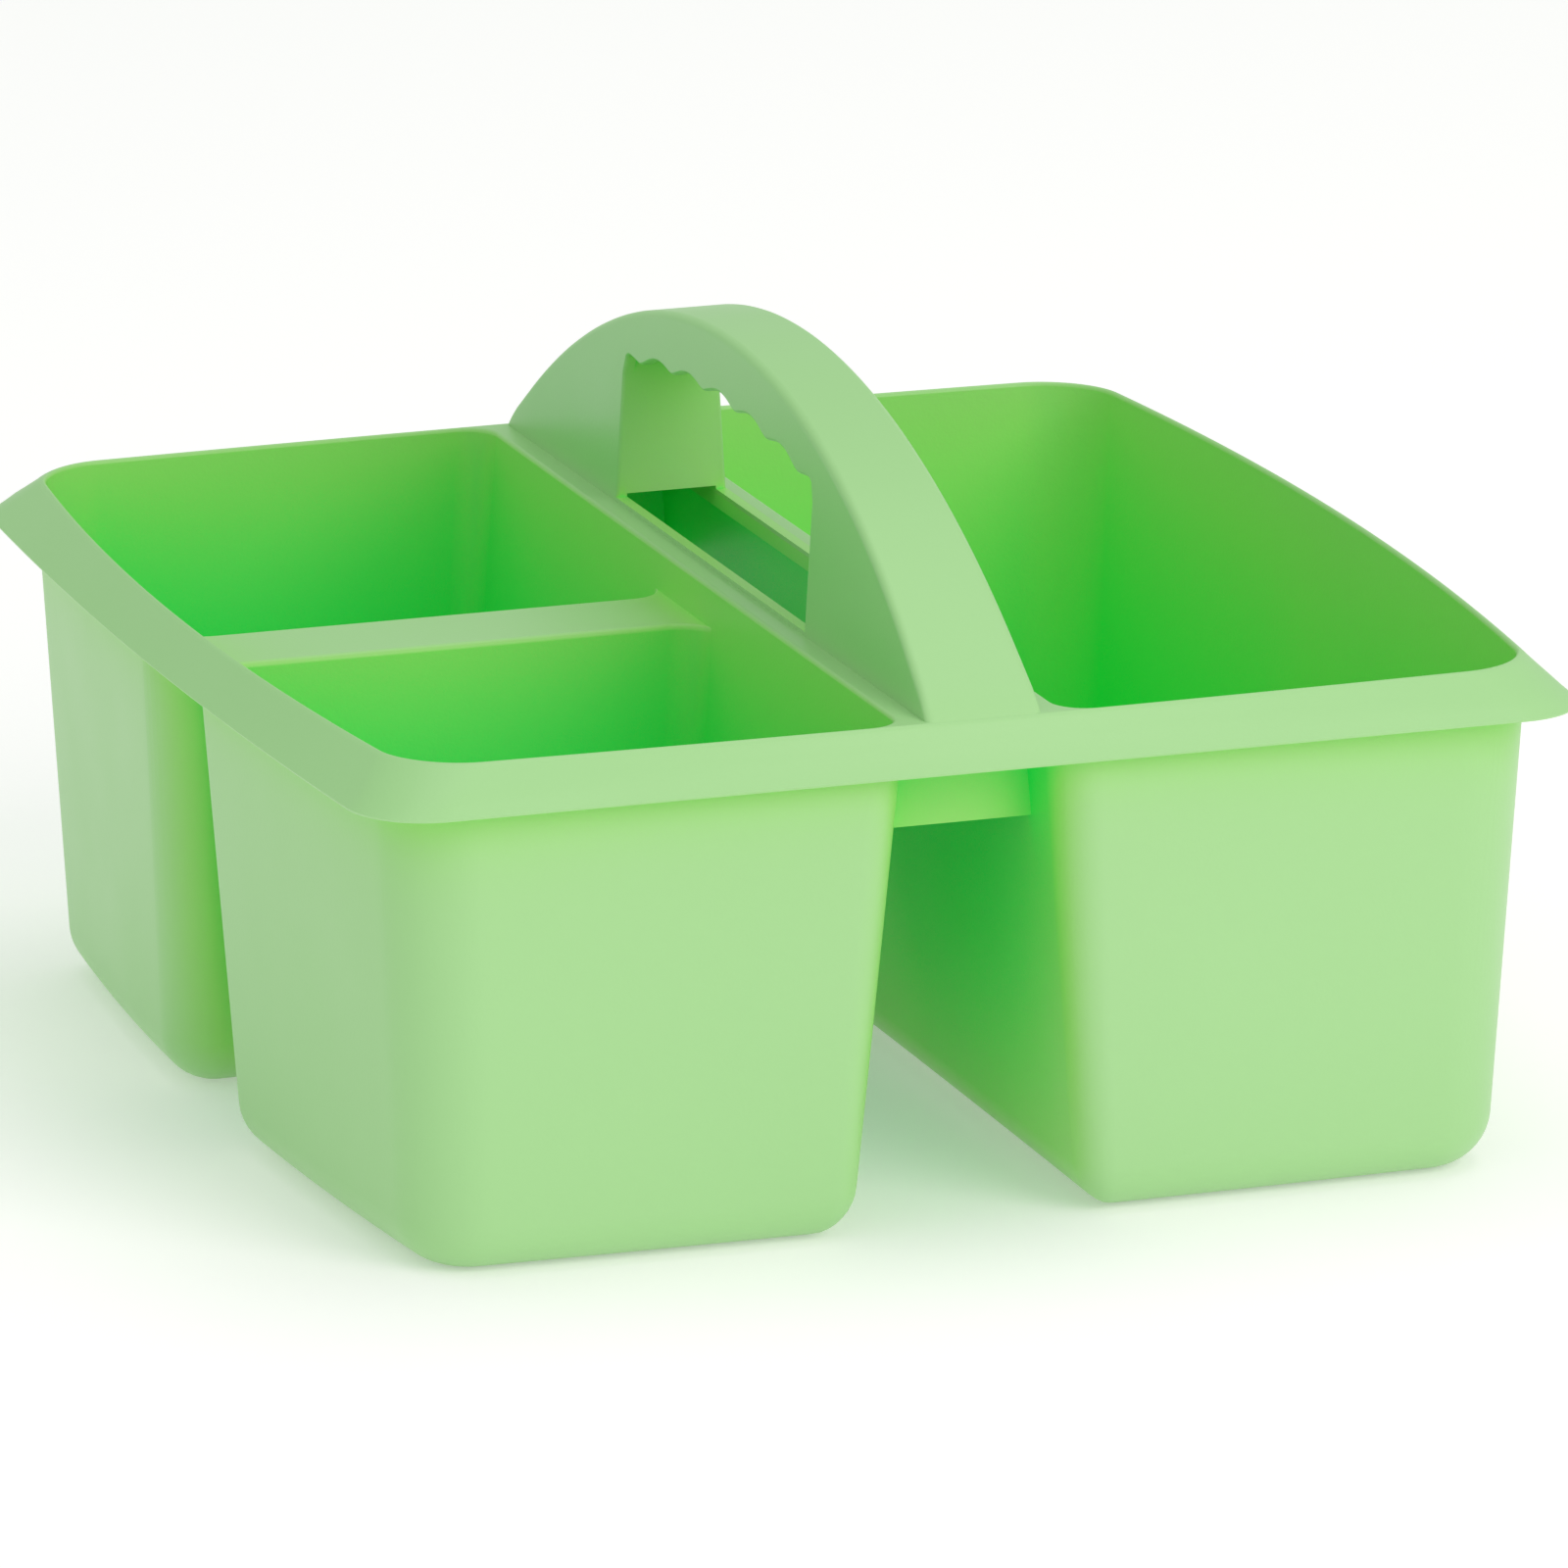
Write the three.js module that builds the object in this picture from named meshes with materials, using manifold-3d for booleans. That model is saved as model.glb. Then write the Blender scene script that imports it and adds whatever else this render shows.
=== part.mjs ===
// Cleaning caddy: three open tubs moulded round a fixed arched carrying handle.
// Millimetres, +Z up. X runs across the two sides, Y along the handle, floor at z = 0,
// and the origin is the middle of the footprint.
import * as THREE from "three";
import { mergeVertices } from "three/addons/utils/BufferGeometryUtils.js";
import Module from "manifold-3d";

// Overall levels
const RIM_TOP = 92;
const TUB_TOP = 83;
const SKIRT_BOTTOM = 84;
const DECK_UNDERSIDE = 89.4;
const COLLAR_TOP = 89.8;
const BRIDGE_TOP = 85;
const HANDLE_TOP = 134;

// Plan of the openings, measured on their upper edges
const HALF_WIDTH = 101.2;
const HALF_LENGTH = 109.5;
const SIDE_BOW = 7.1;
const END_BOW = 2;
const DIVIDER_X = 14.5;
const BRIDGE_Y = 10;
const OUTER_CORNER = 12;
const BRIDGE_CORNER = 9;
const GAP_CORNER = 6;
const LEAST_CORNER = 1.5;

// Walls
const WALL = 2;
const OUTER_DRAFT = 0.0577;
const GAP_DRAFT = 0.0875;
const CORNER_SHARE_OF_DRAFT = 0.4;
const FLOOR_ROUND = 9;
const LIP_ROUND = 0.8;

// Sloping skirt round the outside: its reach from the openings' edge, its thickness measured
// across, how far it swells at the corners and how much it tightens their rounding
const SKIRT_REACH = 6.3;
const SKIRT_THICKNESS = 1.75;
const SKIRT_FLARE = 3.4;
const SKIRT_TIGHTENING = 1;

// Handle
const BAND_RADIUS = 172;
const FOOT_START = 100;
const BAND_THICKNESS = 2;
const BAND_HALF_WIDTH = 10.5;
const WEB_THICKNESS = 2;
const WEB_LEAN = 0.06;
const FIT_GAP = 0.3;
const WINDOW_HALF_LENGTH = 50;
const WINDOW_SILL = 92.8;
const WINDOW_TOP_MIDDLE = 122.6;
const WINDOW_TOP_DROP = 4.4;
const WINDOW_CORNER = 4;
const FINGER_PITCH = 17;
const FINGER_DEPTH = 0.9;
const HOLLOW_HALF_LENGTH = 94;
const APRON_THICKNESS = 2;
const APRON_BOTTOM = 69.5;

// Smoothness of the curves
const CORNER_STEPS = 5;
const SIDE_STEPS = 7;
const ROUND_STEPS = 4;
const ARCH_STEPS = 28;
const FINGER_STEPS = 6;

const wasm = await Module();
wasm.setup();

const MOULDED_GREEN = new THREE.MeshStandardMaterial({
  color: 0x9ad286,
  roughness: 0.38,
  metalness: 0,
});

const OUTER = "outer";
const BRIDGE = "bridge";
const GAP = "gap";
const CORNER_RADIUS = { outer: OUTER_CORNER, bridge: BRIDGE_CORNER, gap: GAP_CORNER };

// One opening's edges: where each side lies, and whether it is an outer side or faces the gap.
const PERIMETER = {
  left: [-HALF_WIDTH, OUTER],
  right: [HALF_WIDTH, OUTER],
  front: [-HALF_LENGTH, OUTER],
  back: [HALF_LENGTH, OUTER],
};
const LARGE_OPENING = { ...PERIMETER, left: [DIVIDER_X, GAP] };
const SMALL_OPENINGS = { ...PERIMETER, right: [-DIVIDER_X, GAP] };
const FRONT_SMALL_TUB = { ...SMALL_OPENINGS, back: [-BRIDGE_Y, BRIDGE] };
const REAR_SMALL_TUB = { ...SMALL_OPENINGS, front: [BRIDGE_Y, BRIDGE] };

// Hundredths of a millimetre, so that a point can be found again by its position.
function rounded(value) {
  return Math.round(value * 100) / 100;
}

function pointKey(x, y) {
  return x.toFixed(2) + "," + y.toFixed(2);
}

function share(value) {
  return Math.min(1, Math.max(0, value));
}

// The outer sides swell outwards in the middle; the sides along the gaps stay straight.
// A flare moves the corners outwards instead.
function bowed(x, y, flare) {
  const xShare = share((Math.abs(x) - DIVIDER_X) / (HALF_WIDTH - DIVIDER_X));
  const yShare = share((Math.abs(y) - BRIDGE_Y) / (HALF_LENGTH - BRIDGE_Y));
  const towardsEnd = share((y / HALF_LENGTH) ** 2);
  const towardsSide = share((x / HALF_WIDTH) ** 2);
  const xSwell = SIDE_BOW * (1 - towardsEnd) + flare * towardsEnd;
  const ySwell = END_BOW * (1 - towardsSide) + Math.min(flare, END_BOW) * towardsSide;
  const bowedX = x + Math.sign(x) * xShare * xSwell;
  const bowedY = y + Math.sign(y) * yShare * ySwell;
  return { x: rounded(bowedX), y: rounded(bowedY) };
}

// A closed outline, anticlockwise: the plan moved outwards by its side's offset, corners rounded.
function outline(plan, offsets) {
  const moved = (side, sign) => plan[side][0] + sign * offsets[plan[side][1]];
  const box = {
    left: moved("left", -1),
    right: moved("right", 1),
    front: moved("front", -1),
    back: moved("back", 1),
  };
  const turns = [
    { xSide: "right", ySide: "back", start: 0 },
    { xSide: "left", ySide: "back", start: 1 },
    { xSide: "left", ySide: "front", start: 2 },
    { xSide: "right", ySide: "front", start: 3 },
  ];
  const corners = turns.map(({ xSide, ySide, start }) => {
    const tightest = Math.min(CORNER_RADIUS[plan[xSide][1]], CORNER_RADIUS[plan[ySide][1]]);
    const radius = Math.max(LEAST_CORNER, tightest + offsets.corner);
    const x = box[xSide] - Math.sign(box[xSide] - (box.left + box.right) / 2) * radius;
    const y = box[ySide] - Math.sign(box[ySide] - (box.front + box.back) / 2) * radius;
    return Array.from({ length: CORNER_STEPS + 1 }, (_, i) => {
      const angle = ((start + i / CORNER_STEPS) * Math.PI) / 2;
      return [x + radius * Math.cos(angle), y + radius * Math.sin(angle)];
    });
  });
  const sides = ["back", "left", "front", "right"];
  return corners.flatMap((corner, i) => {
    const from = corner[CORNER_STEPS];
    const to = corners[(i + 1) % corners.length][0];
    const steps = plan[sides[i]][1] === OUTER ? SIDE_STEPS : 1;
    const between = Array.from({ length: steps - 1 }, (_, j) => {
      const part = (j + 1) / steps;
      return [from[0] + part * (to[0] - from[0]), from[1] + part * (to[1] - from[1])];
    });
    return [...corner, ...between].map(([x, y]) => bowed(x, y, offsets.flare ?? 0));
  });
}

function cornersOf(points) {
  return points.map((p) => new THREE.Vector2(p.x, p.y));
}

// A solid through a stack of outlines that all have the same number of points.
function stacked(levels) {
  const first = levels[0].points;
  const places = new Map(first.map((p, i) => [pointKey(p.x, p.y), i]));
  const steps = levels.length - 1;
  const geometry = new THREE.ExtrudeGeometry(new THREE.Shape(cornersOf(first)), {
    depth: steps,
    steps,
    bevelEnabled: false,
  });
  const position = geometry.getAttribute("position");
  for (let i = 0; i < position.count; i++) {
    const place = places.get(pointKey(position.getX(i), position.getY(i)));
    const level = levels[Math.round(position.getZ(i))];
    position.setXYZ(i, level.points[place].x, level.points[place].y, level.z);
  }
  return solid(geometry);
}

function solid(geometry) {
  geometry.deleteAttribute("normal");
  geometry.deleteAttribute("uv");
  const merged = mergeVertices(geometry, 1e-3);
  return new wasm.Manifold(
    new wasm.Mesh({
      numProp: 3,
      vertProperties: merged.attributes.position.array,
      triVerts: new Uint32Array(merged.index.array),
    }),
  );
}

// The outline of a drafted wall at height z, moved outwards by shell and inwards by roll.
function wallLevel(plan, z, shell, roll = 0) {
  const drop = RIM_TOP - z;
  const offsets = {
    outer: shell - drop * OUTER_DRAFT - roll,
    gap: shell - drop * GAP_DRAFT - roll,
    bridge: shell - (drop - RIM_TOP + BRIDGE_TOP) * GAP_DRAFT - roll,
    corner: shell - drop * OUTER_DRAFT * CORNER_SHARE_OF_DRAFT - roll,
  };
  return { z, points: outline(plan, offsets) };
}

// A drafted block standing on a rolled bottom edge.
function tubBlock(plan, floor, top, shell, round) {
  const levels = Array.from({ length: ROUND_STEPS + 1 }, (_, i) => {
    const angle = ((i / ROUND_STEPS) * Math.PI) / 2;
    const z = floor + round * (1 - Math.cos(angle));
    return wallLevel(plan, z, shell, round * (1 - Math.sin(angle)));
  });
  return stacked([...levels, wallLevel(plan, top, shell)]);
}

function tub(plan) {
  const outside = tubBlock(plan, 0, TUB_TOP, WALL, FLOOR_ROUND);
  const inside = tubBlock(plan, WALL, TUB_TOP + 1, 0, FLOOR_ROUND - WALL);
  return outside.subtract(inside);
}

function evenLevel(plan, z, out) {
  return { z, points: outline(plan, { outer: out, gap: out, corner: out }) };
}

// Height of the skirt's outer face at a distance out from the openings' edge.
function skirtHeight(out) {
  const slope = (RIM_TOP - SKIRT_BOTTOM) / (SKIRT_REACH - LIP_ROUND);
  return RIM_TOP - (out - LIP_ROUND) * slope;
}

// A level of the skirt at height z, standing out from the openings' edge.
function skirtLevel(z, out) {
  const fall = (RIM_TOP - z) / (RIM_TOP - SKIRT_BOTTOM);
  const corner = LIP_ROUND - fall * (LIP_ROUND + SKIRT_TIGHTENING);
  return { z, points: outline(PERIMETER, { outer: out, corner, flare: fall * SKIRT_FLARE }) };
}

// A block that cuts one opening through the rim, with a rounded upper edge.
function openingCutter(plan) {
  const halfRound = LIP_ROUND * Math.SQRT1_2;
  return stacked([
    wallLevel(plan, TUB_TOP - 1, 0),
    wallLevel(plan, RIM_TOP - LIP_ROUND, 0),
    evenLevel(plan, RIM_TOP - LIP_ROUND + halfRound, LIP_ROUND - halfRound),
    evenLevel(plan, RIM_TOP, LIP_ROUND),
    evenLevel(plan, RIM_TOP + 1, LIP_ROUND),
  ]);
}

function block(x, y, z0, z1) {
  const geometry = new THREE.BoxGeometry(2 * x, 2 * y, z1 - z0);
  return solid(geometry.translate(0, 0, (z0 + z1) / 2));
}

// The lip, its skirt, the flat ledges beside the handle and the upper part of every tub wall.
function rimFrame() {
  const middleOut = (SKIRT_REACH + LIP_ROUND) / 2;
  const outside = [
    skirtLevel(SKIRT_BOTTOM, SKIRT_REACH),
    skirtLevel(skirtHeight(middleOut), middleOut),
    skirtLevel(skirtHeight(2 * LIP_ROUND), 2 * LIP_ROUND),
    skirtLevel(RIM_TOP, LIP_ROUND / 2),
  ];
  const inside = [
    skirtLevel(SKIRT_BOTTOM - 1, SKIRT_REACH - SKIRT_THICKNESS + 0.5),
    skirtLevel(skirtHeight(middleOut), middleOut - SKIRT_THICKNESS),
    skirtLevel(DECK_UNDERSIDE, LIP_ROUND),
  ];
  const hollow = block(
    BAND_HALF_WIDTH - WEB_THICKNESS,
    HOLLOW_HALF_LENGTH,
    TUB_TOP - 1,
    RIM_TOP + 1,
  );
  let frame = stacked(outside).subtract(stacked(inside));
  for (const plan of [LARGE_OPENING, SMALL_OPENINGS]) {
    const collar = [wallLevel(plan, TUB_TOP, WALL), wallLevel(plan, COLLAR_TOP, WALL)];
    frame = frame.add(stacked(collar));
  }
  for (const plan of [LARGE_OPENING, SMALL_OPENINGS]) {
    frame = frame.subtract(openingCutter(plan));
  }
  return frame.subtract(hollow);
}

// The low saddle that joins the two small tubs.
function bridge() {
  const outerEnd = -(HALF_WIDTH + SIDE_BOW) + (RIM_TOP - TUB_TOP) * OUTER_DRAFT + FIT_GAP;
  const innerEnd = -DIVIDER_X - (RIM_TOP - TUB_TOP) * GAP_DRAFT - FIT_GAP;
  const geometry = new THREE.BoxGeometry(
    innerEnd - outerEnd,
    2 * BRIDGE_Y,
    BRIDGE_TOP - TUB_TOP,
  );
  const middle = (TUB_TOP + BRIDGE_TOP) / 2;
  return solid(geometry.translate((innerEnd + outerEnd) / 2, 0, middle));
}

// Height of the arch above the floor at y: a circle that runs out into straight feet.
function archHeight(y, radius) {
  const centre = HANDLE_TOP - BAND_RADIUS;
  const turn = (FOOT_START * radius) / BAND_RADIUS;
  const rise = Math.sqrt(radius ** 2 - Math.min(Math.abs(y), turn) ** 2);
  const slope = turn / Math.sqrt(radius ** 2 - turn ** 2);
  return centre + rise - slope * Math.max(0, Math.abs(y) - turn);
}

// Points of the arch at a given radius, from the front foot over the top to the rear foot.
function archPoints(radius) {
  const turn = (FOOT_START * radius) / BAND_RADIUS;
  const slope = turn / Math.sqrt(radius ** 2 - turn ** 2);
  const reach = turn + (archHeight(turn, radius) - RIM_TOP) / slope;
  return Array.from({ length: ARCH_STEPS + 1 }, (_, i) => {
    const y = reach * ((2 * i) / ARCH_STEPS - 1);
    return new THREE.Vector2(y, Math.max(RIM_TOP, archHeight(y, radius)));
  });
}

// Extrudes a side view (y, z) along x, starting at x0, and leans every point by xAt(x, z).
function fromSide(shape, x0, depth, xAt) {
  const geometry = new THREE.ExtrudeGeometry(shape, { depth, bevelEnabled: false });
  const position = geometry.getAttribute("position");
  for (let i = 0; i < position.count; i++) {
    const z = position.getY(i);
    position.setXYZ(i, xAt(x0 + position.getZ(i), z), position.getX(i), z);
  }
  return solid(geometry);
}

function handleBand() {
  const outer = archPoints(BAND_RADIUS);
  const inner = archPoints(BAND_RADIUS - BAND_THICKNESS).reverse();
  const narrowed = (x, z) => x * (1 - ((z - RIM_TOP) * WEB_LEAN) / BAND_HALF_WIDTH);
  const shape = new THREE.Shape([...outer, ...inner]);
  return fromSide(shape, -BAND_HALF_WIDTH, 2 * BAND_HALF_WIDTH, narrowed);
}

// The hand opening: straight sill and ends, and finger waves along its arched upper edge.
function windowPath() {
  const half = WINDOW_HALF_LENGTH;
  const waveEnd = half - WINDOW_CORNER;
  const steps = Math.round((2 * waveEnd * FINGER_STEPS) / FINGER_PITCH);
  const points = [new THREE.Vector2(-half, WINDOW_SILL), new THREE.Vector2(half, WINDOW_SILL)];
  for (let i = 0; i <= steps; i++) {
    const y = waveEnd * (1 - (2 * i) / steps);
    const arch = WINDOW_TOP_MIDDLE - WINDOW_TOP_DROP * (y / half) ** 2;
    const wave = FINGER_DEPTH * Math.cos((2 * Math.PI * y) / FINGER_PITCH);
    points.push(new THREE.Vector2(y, arch + wave));
  }
  const shoulder = WINDOW_TOP_MIDDLE - WINDOW_TOP_DROP - WINDOW_CORNER;
  points.splice(2, 0, new THREE.Vector2(half, shoulder));
  points.push(new THREE.Vector2(-half, shoulder));
  return new THREE.Path(points);
}

function handleWeb(sign) {
  const shape = new THREE.Shape(archPoints(BAND_RADIUS - BAND_THICKNESS - FIT_GAP));
  shape.holes.push(windowPath());
  const inner = BAND_HALF_WIDTH - WEB_THICKNESS;
  const start = sign > 0 ? inner : -BAND_HALF_WIDTH;
  return fromSide(shape, start, WEB_THICKNESS, (x, z) => x - sign * (z - RIM_TOP) * WEB_LEAN);
}

// A cross wall: a trapezium across x, with half widths at its bottom and top, facing along y.
function crossWall(y, thickness, bottom, top) {
  const shape = new THREE.Shape([
    new THREE.Vector2(-bottom.half, bottom.z),
    new THREE.Vector2(bottom.half, bottom.z),
    new THREE.Vector2(top.half, top.z),
    new THREE.Vector2(-top.half, top.z),
  ]);
  const geometry = new THREE.ExtrudeGeometry(shape, { depth: thickness, bevelEnabled: false });
  geometry.rotateX(Math.PI / 2);
  return solid(geometry.translate(0, y + thickness / 2, 0));
}

// Closes each hollow leg of the handle at the end of the hand opening.
function legWall(sign) {
  const middle = WINDOW_HALF_LENGTH + WEB_THICKNESS / 2;
  const underBand = BAND_RADIUS - BAND_THICKNESS - FIT_GAP;
  const top = archHeight(WINDOW_HALF_LENGTH + WEB_THICKNESS, underBand);
  const bottom = WINDOW_SILL + LIP_ROUND / 2;
  const clear = BAND_HALF_WIDTH - WEB_THICKNESS - FIT_GAP;
  const halfAt = (z) => clear - (z - RIM_TOP) * WEB_LEAN;
  return crossWall(
    sign * middle,
    WEB_THICKNESS,
    { z: bottom, half: halfAt(bottom) },
    { z: top, half: halfAt(top) },
  );
}

// Stiffens the gap between the tubs, hanging from the deck behind each end of the skirt.
function apron(sign) {
  const middle = HOLLOW_HALF_LENGTH + APRON_THICKNESS / 2;
  const halfAt = (z) => DIVIDER_X - WALL - FIT_GAP + (RIM_TOP - z) * GAP_DRAFT;
  return crossWall(
    sign * middle,
    APRON_THICKNESS,
    { z: APRON_BOTTOM, half: halfAt(APRON_BOTTOM) },
    { z: DECK_UNDERSIDE, half: halfAt(DECK_UNDERSIDE) },
  );
}

function meshOf(name, shape) {
  const made = shape.getMesh();
  const geometry = new THREE.BufferGeometry();
  geometry.setAttribute("position", new THREE.BufferAttribute(made.vertProperties, 3));
  geometry.setIndex(new THREE.BufferAttribute(made.triVerts, 1));
  geometry.computeVertexNormals();
  const mesh = new THREE.Mesh(geometry, MOULDED_GREEN);
  mesh.name = name;
  return mesh;
}

const caddy = new THREE.Group();
caddy.name = "cleaning_caddy";
const pieces = {
  large_tub: tub(LARGE_OPENING),
  front_small_tub: tub(FRONT_SMALL_TUB),
  rear_small_tub: tub(REAR_SMALL_TUB),
  rim_frame: rimFrame(),
  small_tub_bridge: bridge(),
  handle_band: handleBand(),
  handle_left_web: handleWeb(-1),
  handle_right_web: handleWeb(1),
  front_leg_wall: legWall(-1),
  rear_leg_wall: legWall(1),
  front_apron: apron(-1),
  rear_apron: apron(1),
};
for (const [name, shape] of Object.entries(pieces)) {
  caddy.add(meshOf(name, shape));
}

export default caddy;
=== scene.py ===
"""Cleaning caddy: the moulded body and its arched handle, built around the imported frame."""

import math

import bmesh
import bpy
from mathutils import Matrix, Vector


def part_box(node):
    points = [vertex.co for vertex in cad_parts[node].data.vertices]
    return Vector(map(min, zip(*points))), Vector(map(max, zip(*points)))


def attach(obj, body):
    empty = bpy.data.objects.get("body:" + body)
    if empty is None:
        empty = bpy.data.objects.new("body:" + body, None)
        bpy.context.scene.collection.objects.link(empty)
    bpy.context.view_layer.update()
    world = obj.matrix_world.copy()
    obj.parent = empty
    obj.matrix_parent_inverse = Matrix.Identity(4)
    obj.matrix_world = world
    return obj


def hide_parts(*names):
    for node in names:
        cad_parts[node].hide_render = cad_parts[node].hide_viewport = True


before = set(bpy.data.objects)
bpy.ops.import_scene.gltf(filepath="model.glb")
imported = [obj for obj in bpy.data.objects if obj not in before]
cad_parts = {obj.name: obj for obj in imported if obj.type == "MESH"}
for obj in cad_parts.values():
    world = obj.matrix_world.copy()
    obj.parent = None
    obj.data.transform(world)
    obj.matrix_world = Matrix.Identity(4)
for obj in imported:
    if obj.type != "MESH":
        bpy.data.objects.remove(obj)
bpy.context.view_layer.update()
MM = 0.001

# ---------------------------------------------------------------- dimensions, in millimetres
rim_low, rim_high = (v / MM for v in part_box("rim_frame"))
band_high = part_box("handle_band")[1] / MM
strip_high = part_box("small_tub_bridge")[1] / MM
apron_low, apron_high = (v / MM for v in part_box("front_apron"))

RIM_TOP = rim_high.z
COLLAR_BOTTOM = rim_low.z
DECK_UNDERSIDE = RIM_TOP - 2.6
COLLAR_TOP = DECK_UNDERSIDE + 0.4
SKIRT_BOTTOM = RIM_TOP - 8
STRIP_TOP = strip_high.z
HANDLE_TOP = band_high.z
BAND_HALF_WIDTH = band_high.x
APRON_BOTTOM = apron_low.z
APRON_Y = -(apron_low.y + apron_high.y) / 2

SIDE_BOW = 7.1
END_BOW = 2.0
SKIRT_REACH = 6.3
HALF_WIDTH = rim_high.x - SKIRT_REACH - SIDE_BOW
HALF_LENGTH = rim_high.y - SKIRT_REACH - END_BOW
DIVIDER_X = 14.5
STRIP_Y = strip_high.y
OUTER_CORNER = 12.0
GAP_CORNER = 6.0
STRIP_CORNER = 9.0
SKIRT_CORNER = 13.0
SKIRT_FLARE = 3.4
SKIRT_THICKNESS = 1.75
SKIRT_EDGE = 0.35
LEAST_CORNER = 1.2
WALL = 2.0
COLLAR_INSET = 0.12
OUTER_DRAFT = 0.0577
GAP_DRAFT = 0.0875
CORNER_SHARE_OF_DRAFT = 0.4
FLOOR_ROUND = 9.0
LIP_ROUND = 0.8
STRIP_ROUND = 1.1
STRIP_STEPS = 5
LIP_STEPS = 6
LIP_START = 60.0

ARCH_RADIUS = 172.0
ARCH_TURN_Y = 100.0
FOOT_PROUD = 0.05
FOOT_BLEND = 3.0
FOOT_Z = RIM_TOP - 1.6
ARCH_STEP = 2.0
ARCH_FINE_STEP = 0.5
ARCH_FINE_START = 96.0
ARCH_EDGE_STEPS = 7
SHARP_DEGREES = 32
WEB = 2.0
WEB_LEAN = 0.06
BAND_ROUND = 1.6
WINDOW_HALF = 50.0
WINDOW_SILL = RIM_TOP + 0.8
WINDOW_TOP = 122.6
WINDOW_TOP_DROP = 4.4
WINDOW_CORNER = 2.5
WINDOW_EDGE_ROUND = 0.7
WINDOW_EDGE_STEPS = 4
WINDOW_SIDE_STEPS = 7
WINDOW_TOP_STEPS = 150
FINGER_PITCH = 16.6
FINGER_DEPTH = 2.0
FINGER_SOFTNESS = 0.10
FINGER_MIDDLE = 0.6
HOLLOW_HALF = 94.0

CORNER_STEPS = 14
SIDE_STEPS = 34
ROUND_STEPS = 10

OUTER, GAP, STRIP = "outer", "gap", "strip"
CORNER_ORDER = (OUTER, STRIP, GAP)
CORNER_OF = {OUTER: OUTER_CORNER, STRIP: STRIP_CORNER, GAP: GAP_CORNER}
PERIMETER = {
    "left": (-HALF_WIDTH, OUTER),
    "right": (HALF_WIDTH, OUTER),
    "front": (-HALF_LENGTH, OUTER),
    "back": (HALF_LENGTH, OUTER),
}
LARGE = {**PERIMETER, "left": (DIVIDER_X, GAP)}
SMALLS = {**PERIMETER, "right": (-DIVIDER_X, GAP)}
FRONT_SMALL = {**SMALLS, "back": (-STRIP_Y, STRIP)}
REAR_SMALL = {**SMALLS, "front": (STRIP_Y, STRIP)}


# ---------------------------------------------------------------- outlines
def share(value):
    return min(1.0, max(0.0, value))


def bowed(x, y, flare=0.0):
    """The outer sides swell outwards in the middle, and a flare moves the corners outwards."""
    x_share = share((abs(x) - DIVIDER_X) / (HALF_WIDTH - DIVIDER_X))
    y_share = share((abs(y) - STRIP_Y) / (HALF_LENGTH - STRIP_Y))
    to_end = share((y / HALF_LENGTH) ** 2)
    to_side = share((x / HALF_WIDTH) ** 2)
    x_swell = SIDE_BOW * (1 - to_end) + flare * to_end
    y_swell = END_BOW * (1 - to_side) + min(flare, END_BOW) * to_side
    return (
        x + math.copysign(x_share * x_swell, x),
        y + math.copysign(y_share * y_swell, y),
    )


def outline(plan, offsets):
    """A closed outline, anticlockwise, with each side of the plan moved out by its own offset."""
    left = plan["left"][0] - offsets[plan["left"][1]]
    right = plan["right"][0] + offsets[plan["right"][1]]
    front = plan["front"][0] - offsets[plan["front"][1]]
    back = plan["back"][0] + offsets[plan["back"][1]]
    turns = [
        ("right", "back", right, back, -1, -1),
        ("left", "back", left, back, 1, -1),
        ("left", "front", left, front, 1, 1),
        ("right", "front", right, front, -1, 1),
    ]
    corners = []
    for quarter, (x_side, y_side, x, y, x_in, y_in) in enumerate(turns):
        kinds = (plan[x_side][1], plan[y_side][1])
        base = CORNER_OF[max(kinds, key=CORNER_ORDER.index)]
        radius = max(LEAST_CORNER, base + offsets["corner"])
        cx, cy = x + x_in * radius, y + y_in * radius
        arc = []
        for i in range(CORNER_STEPS + 1):
            angle = (quarter + i / CORNER_STEPS) * math.pi / 2
            arc.append((cx + radius * math.cos(angle), cy + radius * math.sin(angle)))
        corners.append(arc)
    points = []
    for i, arc in enumerate(corners):
        start, end = arc[-1], corners[(i + 1) % 4][0]
        points += arc
        for j in range(1, SIDE_STEPS):
            t = j / SIDE_STEPS
            points.append((start[0] + t * (end[0] - start[0]), start[1] + t * (end[1] - start[1])))
    return [bowed(x, y, offsets.get("flare", 0.0)) for x, y in points]


def wall_level(plan, z, shell, roll=0.0, strip_out=0.0):
    """The outline of a drafted wall at height z, moved out by shell and in by roll."""
    drop = RIM_TOP - z
    gap = shell - drop * GAP_DRAFT - roll
    offsets = {
        OUTER: shell - drop * OUTER_DRAFT - roll,
        GAP: gap,
        STRIP: gap + (RIM_TOP - STRIP_TOP) * GAP_DRAFT + strip_out,
        "corner": shell - drop * OUTER_DRAFT * CORNER_SHARE_OF_DRAFT - roll,
    }
    return z, outline(plan, offsets)


def even_level(plan, z, out):
    return z, outline(plan, {OUTER: out, GAP: out, STRIP: out, "corner": out})


# ---------------------------------------------------------------- mesh tools
def object_from(bm, name):
    bmesh.ops.recalc_face_normals(bm, faces=bm.faces)
    mesh = bpy.data.meshes.new(name)
    bm.to_mesh(mesh)
    bm.free()
    made = bpy.data.objects.new(name, mesh)
    bpy.context.scene.collection.objects.link(made)
    return made


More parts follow.
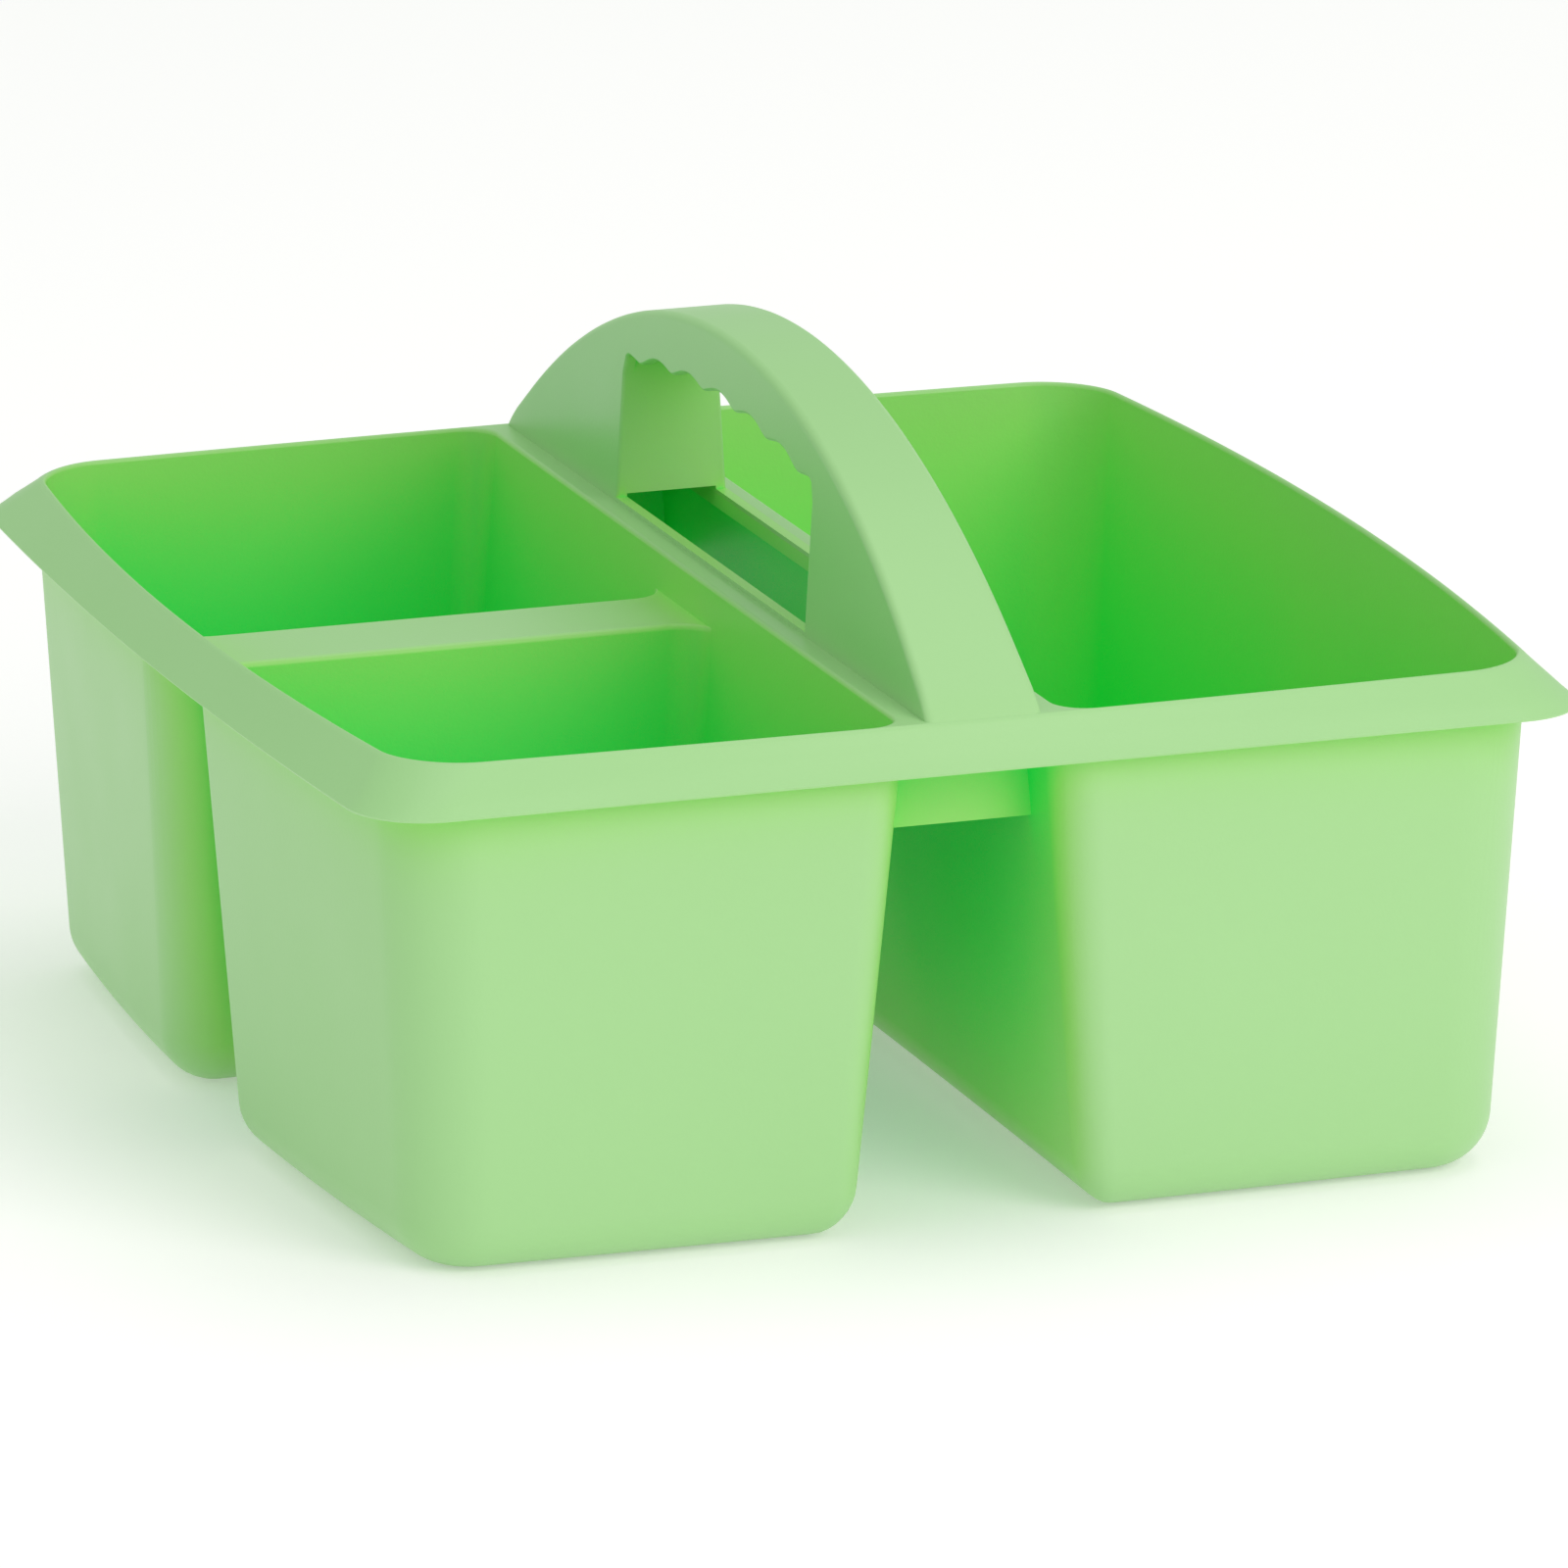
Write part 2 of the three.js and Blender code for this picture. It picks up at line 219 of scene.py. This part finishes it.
def stack(levels, name):
    """A closed solid through a stack of outlines with equal numbers of points."""
    bm = bmesh.new()
    rings = [
        [bm.verts.new((x * MM, y * MM, z * MM)) for x, y in points] for z, points in levels
    ]
    count = len(rings[0])
    for low, high in zip(rings, rings[1:]):
        for i in range(count):
            j = (i + 1) % count
            bm.faces.new((low[i], low[j], high[j], high[i]))
    bm.faces.new(list(reversed(rings[0])))
    bm.faces.new(rings[-1])
    return object_from(bm, name)


def box_solid(x0, x1, y0, y1, z0, z1, name, bottom_grow=0.0):
    """A box; bottom_grow moves its two x faces apart at the bottom, for a drafted gap."""
    bm = bmesh.new()
    corners = []
    for z, grow in ((z0, bottom_grow), (z1, 0.0)):
        corners.append(
            [
                bm.verts.new((x * MM, y * MM, z * MM))
                for x, y in (
                    (x0 - grow, y0),
                    (x1 + grow, y0),
                    (x1 + grow, y1),
                    (x0 - grow, y1),
                )
            ]
        )
    low, high = corners
    bm.faces.new(list(reversed(low)))
    bm.faces.new(high)
    for i in range(4):
        j = (i + 1) % 4
        bm.faces.new((low[i], low[j], high[j], high[i]))
    return object_from(bm, name)


def combine(target, tool, operation):
    """Applies an exact boolean to target and removes the tool."""
    modifier = target.modifiers.new("bool", "BOOLEAN")
    modifier.operation = operation
    modifier.solver = "EXACT"
    modifier.object = tool
    bake(target)
    bpy.data.objects.remove(tool)


def bake(target):
    """Replaces the mesh by the result of its modifiers."""
    bpy.context.view_layer.update()
    graph = bpy.context.evaluated_depsgraph_get()
    made = bpy.data.meshes.new_from_object(target.evaluated_get(graph))
    target.modifiers.clear()
    target.data = made


def finish_surface(target, sharp_degrees):
    """Cleans the boolean result and sets its smooth and sharp edges."""
    bm = bmesh.new()
    bm.from_mesh(target.data)
    bmesh.ops.remove_doubles(bm, verts=bm.verts, dist=0.004 * MM)
    bmesh.ops.dissolve_degenerate(bm, edges=bm.edges, dist=0.002 * MM)
    for face in bm.faces:
        face.smooth = True
    for edge in bm.edges:
        edge.smooth = len(edge.link_faces) == 2 and edge.calc_face_angle() < math.radians(
            sharp_degrees
        )
    bm.to_mesh(target.data)
    bm.free()
    weighted = target.modifiers.new("weighted", "WEIGHTED_NORMAL")
    weighted.keep_sharp = True
    weighted.weight = 60
    bake(target)


# ---------------------------------------------------------------- the body
def rolled(plan, floor, shell, radius):
    """Levels of a drafted wall standing on a rolled bottom edge."""
    levels = []
    for i in range(ROUND_STEPS + 1):
        angle = (i / ROUND_STEPS) * math.pi / 2
        z = floor + radius * (1 - math.cos(angle))
        levels.append(wall_level(plan, z, shell, radius * (1 - math.sin(angle))))
    return levels


def lip_levels(plan, start):
    """Levels from a straight wall to its rounded upper edge at the rim."""
    levels = [wall_level(plan, start, 0), wall_level(plan, RIM_TOP - LIP_ROUND, 0)]
    for i in range(1, LIP_STEPS + 1):
        angle = (i / LIP_STEPS) * math.pi / 2
        out = LIP_ROUND * (1 - math.cos(angle))
        z = RIM_TOP - LIP_ROUND + LIP_ROUND * math.sin(angle)
        levels.append(even_level(plan, z, out))
    levels.append(even_level(plan, RIM_TOP + 1, LIP_ROUND))
    return levels


def skirt_level(z, out):
    """A level of the flange, whose corners in plan tighten from the crest to the lower edge."""
    fall = (RIM_TOP - z) / (RIM_TOP - SKIRT_BOTTOM)
    corner = LIP_ROUND + fall * (SKIRT_CORNER - OUTER_CORNER - LIP_ROUND)
    flare = SKIRT_FLARE * fall
    return z, outline(PERIMETER, {OUTER: out, "corner": corner, "flare": flare})


def skirt_line(out):
    """Height of the sloping flange at a distance out from the openings' edge."""
    return RIM_TOP - (out - LIP_ROUND) * (RIM_TOP - SKIRT_BOTTOM) / (SKIRT_REACH - LIP_ROUND)


def skirt_outside():
    """The flange's outer face from its lower edge up and over its rounded crest."""
    profile = [
        (SKIRT_BOTTOM, SKIRT_REACH - SKIRT_EDGE),
        (SKIRT_BOTTOM + SKIRT_EDGE, SKIRT_REACH - 0.1),
    ]
    for i in range(1, 5):
        out = SKIRT_REACH - SKIRT_EDGE - (SKIRT_REACH - 2.1) * i / 4
        profile.append((skirt_line(out), out))
    profile += [(RIM_TOP - 0.62, 1.3), (RIM_TOP - 0.3, 1.0), (RIM_TOP - 0.1, 0.75), (RIM_TOP, 0.4)]
    return [skirt_level(z, out) for z, out in profile]


def build_body():
    body = stack(skirt_outside(), "caddy_body")
    under = [skirt_level(SKIRT_BOTTOM - 1, SKIRT_REACH - SKIRT_THICKNESS + 0.5)]
    for out in (SKIRT_REACH - 0.4, 4.4, 2.9):
        under.append(skirt_level(skirt_line(out), out - SKIRT_THICKNESS))
    under.append(skirt_level(DECK_UNDERSIDE, 0.8))
    combine(body, stack(under, "skirt_under"), "DIFFERENCE")
    for plan in (LARGE, FRONT_SMALL, REAR_SMALL):
        levels = rolled(plan, 0, WALL, FLOOR_ROUND) + [wall_level(plan, COLLAR_TOP, WALL)]
        combine(body, stack(levels, "outside"), "UNION")
    shell = WALL - COLLAR_INSET
    collar = [
        wall_level(SMALLS, COLLAR_BOTTOM, shell),
        wall_level(SMALLS, COLLAR_TOP + 0.1, shell),
    ]
    combine(body, stack(collar, "small_collar"), "UNION")
    for sign in (-1, 1):
        half = DIVIDER_X - 1.0
        apron = box_solid(
            -half,
            half,
            sign * APRON_Y - WALL / 2,
            sign * APRON_Y + WALL / 2,
            APRON_BOTTOM,
            COLLAR_TOP,
            "apron",
            bottom_grow=(COLLAR_TOP - APRON_BOTTOM) * GAP_DRAFT,
        )
        combine(body, apron, "UNION")
    hollow = box_solid(
        -BAND_HALF_WIDTH + WEB,
        BAND_HALF_WIDTH - WEB,
        -HOLLOW_HALF,
        HOLLOW_HALF,
        COLLAR_BOTTOM - 5,
        RIM_TOP + 1,
        "hollow",
    )
    combine(body, hollow, "DIFFERENCE")
    large = rolled(LARGE, WALL, 0, FLOOR_ROUND - WALL) + lip_levels(LARGE, LIP_START)
    combine(body, stack(large, "large_inside"), "DIFFERENCE")
    combine(body, stack(lip_levels(SMALLS, STRIP_TOP), "smalls_mouth"), "DIFFERENCE")
    for plan in (FRONT_SMALL, REAR_SMALL):
        levels = rolled(plan, WALL, 0, FLOOR_ROUND - WALL)
        levels.append(wall_level(plan, STRIP_TOP - STRIP_ROUND, 0))
        for i in range(1, STRIP_STEPS + 1):
            angle = (i / STRIP_STEPS) * math.pi / 2
            z = STRIP_TOP - STRIP_ROUND + STRIP_ROUND * math.sin(angle)
            levels.append(wall_level(plan, z, 0, 0, STRIP_ROUND * (1 - math.cos(angle))))
        z, points = levels[-1]
        levels.append((z + 0.5, points))
        combine(body, stack(levels, "small_inside"), "DIFFERENCE")
    finish_surface(body, SHARP_DEGREES)
    return body


# ---------------------------------------------------------------- the handle
def arch_z(y, inset):
    """Height of the arch, inset below its outer face.

    The arch is a circle whose straight feet run into the flange.
    """
    radius = ARCH_RADIUS - inset
    centre = HANDLE_TOP - ARCH_RADIUS
    turn = ARCH_TURN_Y * radius / ARCH_RADIUS
    rise = math.sqrt(radius**2 - min(abs(y), turn) ** 2)
    slope = turn / math.sqrt(radius**2 - turn**2)
    arch = centre + rise - slope * max(0.0, abs(y) - turn)
    flange = skirt_line(abs(y) - HALF_LENGTH - END_BOW) + FOOT_PROUD - 1.6 * inset
    blend = max(0.0, FOOT_BLEND - abs(arch - flange)) / FOOT_BLEND
    return min(arch, flange) - blend * blend * FOOT_BLEND / 4


def half_width(z, inset):
    return BAND_HALF_WIDTH - inset - WEB_LEAN * (z - RIM_TOP)


def arch_solid(inset, round_edge, foot, name):
    """A solid under the arch: sections across x, their upper corners rounded."""
    stations = []
    y = 0.0
    while arch_z(y, inset) - foot > 0.15:
        stations.append(y)
        y += ARCH_STEP if y < ARCH_FINE_START else ARCH_FINE_STEP
    stations = [-v for v in reversed(stations[1:])] + stations
    bm = bmesh.new()
    rings = []
    for y in stations:
        top = arch_z(y, inset)
        radius = min(round_edge, 0.9 * (top - foot))
        side = [(half_width(foot, inset), foot)]
        cx, cz = half_width(top - radius, inset) - radius, top - radius
        for i in range(ARCH_EDGE_STEPS + 1):
            angle = (i / ARCH_EDGE_STEPS) * math.pi / 2
            side.append((cx + radius * math.cos(angle), cz + radius * math.sin(angle)))
        section = side + [(-x, z) for x, z in reversed(side)]
        rings.append([bm.verts.new((x * MM, y * MM, z * MM)) for x, z in section])
    count = len(rings[0])
    for near, far in zip(rings, rings[1:]):
        for i in range(count):
            j = (i + 1) % count
            bm.faces.new((near[i], near[j], far[j], far[i]))
    bm.faces.new(list(reversed(rings[0])))
    bm.faces.new(rings[-1])
    return object_from(bm, name)


def window_outline():
    """The hand opening from the side, anticlockwise, with scalloped finger grips along its top."""
    half = WINDOW_HALF
    points = [(-half, WINDOW_SILL), (half, WINDOW_SILL)]
    shoulder = WINDOW_TOP - WINDOW_TOP_DROP - WINDOW_CORNER
    for i in range(1, WINDOW_SIDE_STEPS + 1):
        points.append((half, WINDOW_SILL + (shoulder - WINDOW_SILL) * i / WINDOW_SIDE_STEPS))
    reach = half - WINDOW_CORNER * 0.4
    for i in range(WINDOW_TOP_STEPS + 1):
        y = reach * (1 - 2 * i / WINDOW_TOP_STEPS)
        arch = WINDOW_TOP - WINDOW_TOP_DROP * (y / half) ** 2
        wave = math.sqrt(math.cos(math.pi * y / FINGER_PITCH) ** 2 + FINGER_SOFTNESS)
        end = share((half - abs(y)) / WINDOW_CORNER)
        drop = WINDOW_CORNER * (1 - math.sqrt(1 - (1 - end) ** 2)) if end < 1 else 0.0
        points.append((y, arch + FINGER_DEPTH * (wave - FINGER_MIDDLE) - drop))
    for i in range(WINDOW_SIDE_STEPS, 0, -1):
        points.append((-half, WINDOW_SILL + (shoulder - WINDOW_SILL) * i / WINDOW_SIDE_STEPS))
    return points


def grown(points, out):
    """The outline moved outwards by out along its own normals."""
    made = []
    count = len(points)
    for i, (y, z) in enumerate(points):
        y0, z0 = points[i - 1]
        y1, z1 = points[(i + 1) % count]
        a = Vector((y - y0, z - z0)).normalized()
        b = Vector((y1 - y, z1 - z)).normalized()
        n = Vector((a.y + b.y, -(a.x + b.x)))
        n = n.normalized() / max(0.5, Vector((a.y, -a.x)).dot(n.normalized()))
        made.append((y + n.x * out, z + n.y * out))
    return made


def window_cutter():
    """Cuts the hand opening through both webs and rounds its edges on their outer faces."""
    base = window_outline()
    radius = WINDOW_EDGE_ROUND
    profile = [(-1.0, radius)]
    for i in range(WINDOW_EDGE_STEPS + 1):
        angle = (i / WINDOW_EDGE_STEPS) * math.pi / 2
        profile.append((radius * (1 - math.cos(angle)), radius * (1 - math.sin(angle))))
    bm = bmesh.new()
    rings = []
    for sign in (1, -1):
        ordered = profile if sign > 0 else list(reversed(profile))
        for depth, out in ordered:
            ring = []
            for (y, z), (gy, gz) in zip(base, grown(base, out)):
                gz = max(gz, WINDOW_SILL - 0.02) if z <= WINDOW_SILL + 0.01 else gz
                x = sign * (half_width(z, 0) - depth)
                ring.append(bm.verts.new((x * MM, gy * MM, gz * MM)))
            rings.append(ring)
    count = len(rings[0])
    for near, far in zip(rings, rings[1:]):
        for i in range(count):
            j = (i + 1) % count
            bm.faces.new((near[i], far[i], far[j], near[j]))
    bm.faces.new(rings[0])
    bm.faces.new(list(reversed(rings[-1])))
    return object_from(bm, "window")


def build_handle():
    handle = arch_solid(0.0, BAND_ROUND, FOOT_Z, "carry_handle")
    combine(handle, arch_solid(WEB, 0.6, FOOT_Z - 1.0, "channel"), "DIFFERENCE")
    for sign in (-1, 1):
        y0 = sign * (WINDOW_HALF + WEB / 2)
        bottom = WINDOW_SILL + 0.6
        top = arch_z(WINDOW_HALF + WEB, WEB) + 0.6
        wall = box_solid(
            -half_width(top, WEB / 2),
            half_width(top, WEB / 2),
            y0 - WEB / 2,
            y0 + WEB / 2,
            bottom,
            top,
            "leg_wall",
            bottom_grow=(top - bottom) * WEB_LEAN,
        )
        combine(handle, wall, "UNION")
    combine(handle, window_cutter(), "DIFFERENCE")
    finish_surface(handle, SHARP_DEGREES)
    return handle


# ---------------------------------------------------------------- materials
def node(tree, kind, **values):
    made = tree.nodes.new(kind)
    for name, value in values.items():
        setattr(made, name, value)
    return made


# Painted light: colour of the plastic by how open its surroundings are, from enclosed to open. The
# enclosed stops are a deeper, saturated green that stands in for light scattered in the plastic
# and shade in the tubs and gaps, not a colour of the plastic.
PAINTED_LIGHT_STOPS = [
    (0.12, (0.003, 0.90, 0.170, 1)),
    (0.30, (0.040, 0.88, 0.160, 1)),
    (0.50, (0.380, 0.84, 0.160, 1)),
    (0.78, (0.360, 0.71, 0.195, 1)),
    (1.00, (0.395, 0.68, 0.320, 1)),
]


def moulded_plastic():
    """Light green polypropylene: satin, faintly cloudy, with painted light where it is enclosed: a
    deeper, saturated green and weaker reflections standing in for scattered light and shade.
    """
    material = bpy.data.materials.new("green_polypropylene")
    material.use_nodes = True
    tree = material.node_tree
    shader = tree.nodes["Principled BSDF"]
    place = node(tree, "ShaderNodeTexCoord")

    cloud = node(tree, "ShaderNodeTexNoise")
    cloud.inputs["Scale"].default_value = 9.0
    cloud.inputs["Detail"].default_value = 4.0
    tree.links.new(place.outputs["Object"], cloud.inputs["Vector"])
    tint = node(tree, "ShaderNodeValToRGB")
    tint.color_ramp.elements[0].position = 0.3
    tint.color_ramp.elements[0].color = (0.97, 0.98, 0.96, 1)
    tint.color_ramp.elements[1].position = 0.7
    tint.color_ramp.elements[1].color = (1.0, 1.0, 1.0, 1)
    tree.links.new(cloud.outputs["Fac"], tint.inputs["Fac"])

    # Ambient occlusion measures how enclosed the surface is. It drives the painted light in the
    # base colour and the painted shade on the reflections.
    depth = node(tree, "ShaderNodeAmbientOcclusion", only_local=True, samples=8)
    depth.inputs["Distance"].default_value = 0.12
    # Painted light: this ramp turns enclosed surfaces a deeper, saturated green, standing in for
    # light scattered in the plastic and shade in the tubs.
    painted_light_ramp = node(tree, "ShaderNodeValToRGB")
    painted_light_ramp.color_ramp.interpolation = "B_SPLINE"
    stops = painted_light_ramp.color_ramp.elements
    for position, color in PAINTED_LIGHT_STOPS[2:]:
        stops.new(position).color = color
    for stop, (position, color) in zip(stops, PAINTED_LIGHT_STOPS):
        stop.position = position
        stop.color = color
    tree.links.new(depth.outputs["AO"], painted_light_ramp.inputs["Fac"])
    clouded = node(tree, "ShaderNodeMix", data_type="RGBA", blend_type="MULTIPLY")
    clouded.inputs[0].default_value = 1.0
    tree.links.new(painted_light_ramp.outputs["Color"], clouded.inputs[6])
    tree.links.new(tint.outputs["Color"], clouded.inputs[7])
    tree.links.new(clouded.outputs[2], shader.inputs["Base Color"])

    smear = node(tree, "ShaderNodeTexNoise")
    smear.inputs["Scale"].default_value = 45.0
    smear.inputs["Detail"].default_value = 6.0
    tree.links.new(place.outputs["Object"], smear.inputs["Vector"])
    gloss = node(tree, "ShaderNodeMapRange")
    gloss.inputs["To Min"].default_value = 0.30
    gloss.inputs["To Max"].default_value = 0.42
    tree.links.new(smear.outputs["Fac"], gloss.inputs["Value"])
    tree.links.new(gloss.outputs["Result"], shader.inputs["Roughness"])

    grain = node(tree, "ShaderNodeTexNoise")
    grain.inputs["Scale"].default_value = 1400.0
    grain.inputs["Detail"].default_value = 2.0
    tree.links.new(place.outputs["Object"], grain.inputs["Vector"])
    ripple = node(tree, "ShaderNodeTexNoise")
    ripple.inputs["Scale"].default_value = 28.0
    ripple.inputs["Detail"].default_value = 2.0
    tree.links.new(place.outputs["Object"], ripple.inputs["Vector"])
    fine = node(tree, "ShaderNodeBump")
    fine.inputs["Strength"].default_value = 0.12
    fine.inputs["Distance"].default_value = 0.0002
    tree.links.new(grain.outputs["Fac"], fine.inputs["Height"])
    broad = node(tree, "ShaderNodeBump")
    broad.inputs["Strength"].default_value = 0.18
    broad.inputs["Distance"].default_value = 0.0006
    tree.links.new(ripple.outputs["Fac"], broad.inputs["Height"])
    tree.links.new(fine.outputs["Normal"], broad.inputs["Normal"])
    tree.links.new(broad.outputs["Normal"], shader.inputs["Normal"])
    # Painted shade on the reflections: the specular level drops where the surface is enclosed,
    # standing in for the shade there.
    sheen = node(tree, "ShaderNodeMapRange", interpolation_type="SMOOTHSTEP")
    sheen.inputs["From Min"].default_value = 0.25
    sheen.inputs["From Max"].default_value = 0.75
    sheen.inputs["To Min"].default_value = 0.02
    sheen.inputs["To Max"].default_value = 0.32
    tree.links.new(depth.outputs["AO"], sheen.inputs["Value"])
    tree.links.new(sheen.outputs["Result"], shader.inputs["Specular IOR Level"])
    return material


def floor_material():
    material = bpy.data.materials.new("studio_floor")
    material.use_nodes = True
    shader = material.node_tree.nodes["Principled BSDF"]
    shader.inputs["Base Color"].default_value = (0.93, 0.88, 0.92, 1)
    shader.inputs["Roughness"].default_value = 0.9
    shader.inputs["Emission Color"].default_value = (1, 1, 1, 1)
    shader.inputs["Emission Strength"].default_value = 0.25
    shader.inputs["Specular IOR Level"].default_value = 0.1
    return material


# ---------------------------------------------------------------- assembly
plastic = moulded_plastic()
body = build_body()
handle = build_handle()
for piece in (body, handle):
    piece.data.materials.clear()
    piece.data.materials.append(plastic)
    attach(piece, "root")
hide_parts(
    "large_tub",
    "front_small_tub",
    "rear_small_tub",
    "rim_frame",
    "small_tub_bridge",
    "front_apron",
    "rear_apron",
)
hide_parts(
    "handle_band",
    "handle_left_web",
    "handle_right_web",
    "front_leg_wall",
    "rear_leg_wall",
)

# ---------------------------------------------------------------- studio
FLOOR_HALF = 6.0
bpy.ops.mesh.primitive_plane_add(size=2 * FLOOR_HALF, location=(0, 0, -0.0002))
floor = bpy.context.object
floor.name = "studio_floor"
floor.data.materials.append(floor_material())


def area_light(name, place, aim, size, power, color):
    data = bpy.data.lights.new(name, "AREA")
    data.shape = "DISK"
    data.size = size
    data.energy = power
    data.color = color
    made = bpy.data.objects.new(name, data)
    bpy.context.scene.collection.objects.link(made)
    made.location = place
    made.rotation_euler = (Vector(aim) - Vector(place)).to_track_quat("-Z", "Y").to_euler()
    return made


area_light("key", (0.8, -1.9, 1.2), (0, 0, 0.05), 1.6, 19, (1.0, 0.84, 0.97))
area_light("top", (0.2, 0.1, 2.2), (0, 0, 0.05), 1.8, 9, (1.0, 0.92, 0.98))

world = bpy.data.worlds.new("studio")
bpy.context.scene.world = world
world.use_nodes = True
world.node_tree.nodes["Background"].inputs["Color"].default_value = (0.88, 1, 0.88, 1)
world.node_tree.nodes["Background"].inputs["Strength"].default_value = 0.64

AZIMUTH = math.radians(-19.45)
ELEVATION = math.radians(15.11)
DISTANCE = 2.606
LENS = 338.3
camera_data = bpy.data.cameras.new("camera")
camera = bpy.data.objects.new("camera", camera_data)
bpy.context.scene.collection.objects.link(camera)
target = Vector((0, 0, 0.06))
back = Vector(
    (
        math.sin(AZIMUTH) * math.cos(ELEVATION),
        -math.cos(AZIMUTH) * math.cos(ELEVATION),
        math.sin(ELEVATION),
    )
)
camera.location = target + DISTANCE * back
camera.rotation_euler = (-back).to_track_quat("-Z", "Y").to_euler()
camera_data.sensor_width = 36
camera_data.lens = LENS
camera_data.shift_x = 0.0125
camera_data.shift_y = -0.0295
camera_data.clip_end = 50
bpy.context.scene.camera = camera
bpy.context.scene.view_settings.view_transform = "Standard"
